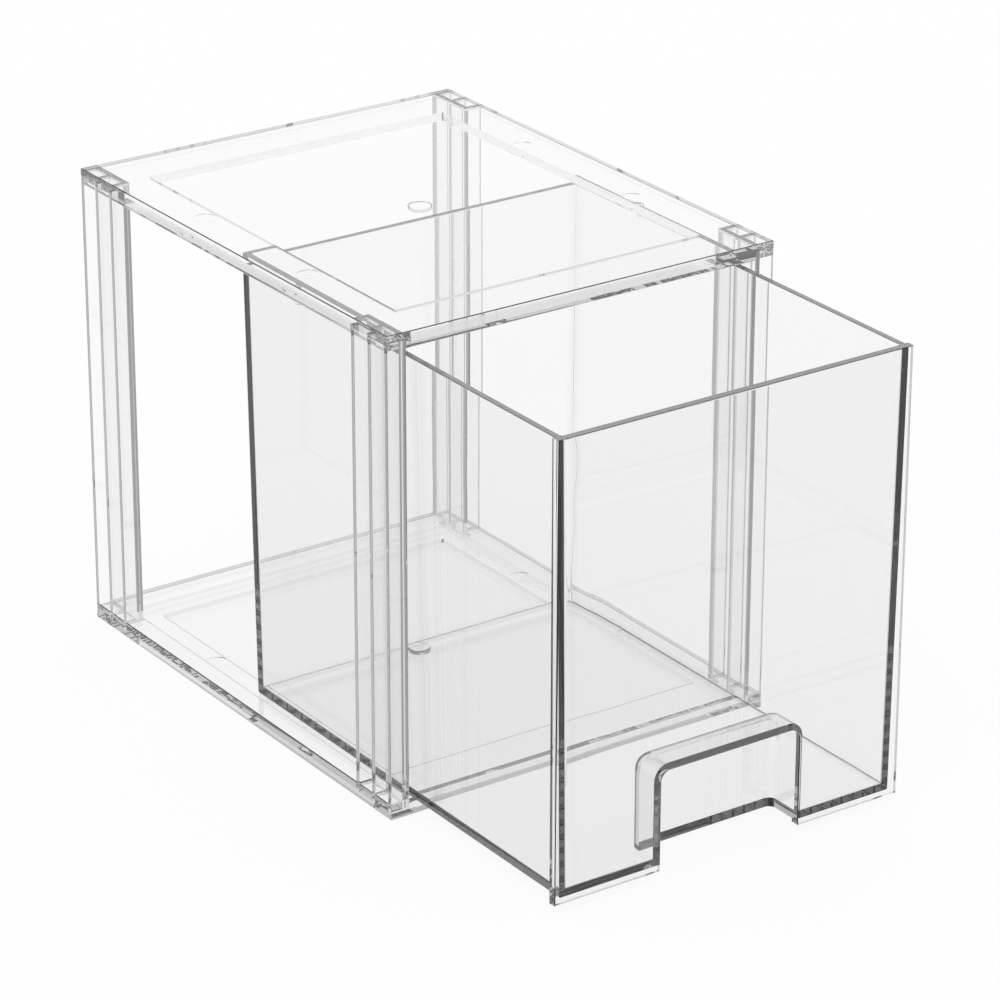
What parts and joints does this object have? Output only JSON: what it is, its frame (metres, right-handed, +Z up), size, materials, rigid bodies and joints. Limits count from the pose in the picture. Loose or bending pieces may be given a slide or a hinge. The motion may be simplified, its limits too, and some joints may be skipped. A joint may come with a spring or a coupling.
{
  "type": "drawer box",
  "caption": "Stackable clear plastic drawer box: flat plates on corner posts, and a deep open drawer with a recessed finger pull that slides out at the front.",
  "frame": {"origin": "centre of the underside of the case", "axes": "+Z up, -Y the way the drawer opens, +X to the right seen from the front"},
  "size_m": [0.15, 0.2687, 0.1672],
  "materials": {
    "case_plastic": "clear polished",
    "drawer_plastic": "clear polished"
  },
  "bodies": {
    "case": {"bottom_plate": "case_plastic", "top_plate": "case_plastic", "post_front_left": "case_plastic", "post_front_right": "case_plastic", "post_back_left": "case_plastic", "post_back_right": "case_plastic"},
    "drawer": {"drawer": "drawer_plastic"}
  },
  "joints": [
    {"name": "drawer_slide", "type": "slide", "parent": "case", "child": "drawer", "axis": [0, -1, 0], "range_m": [-0.0807, 0.0413]}
  ]
}
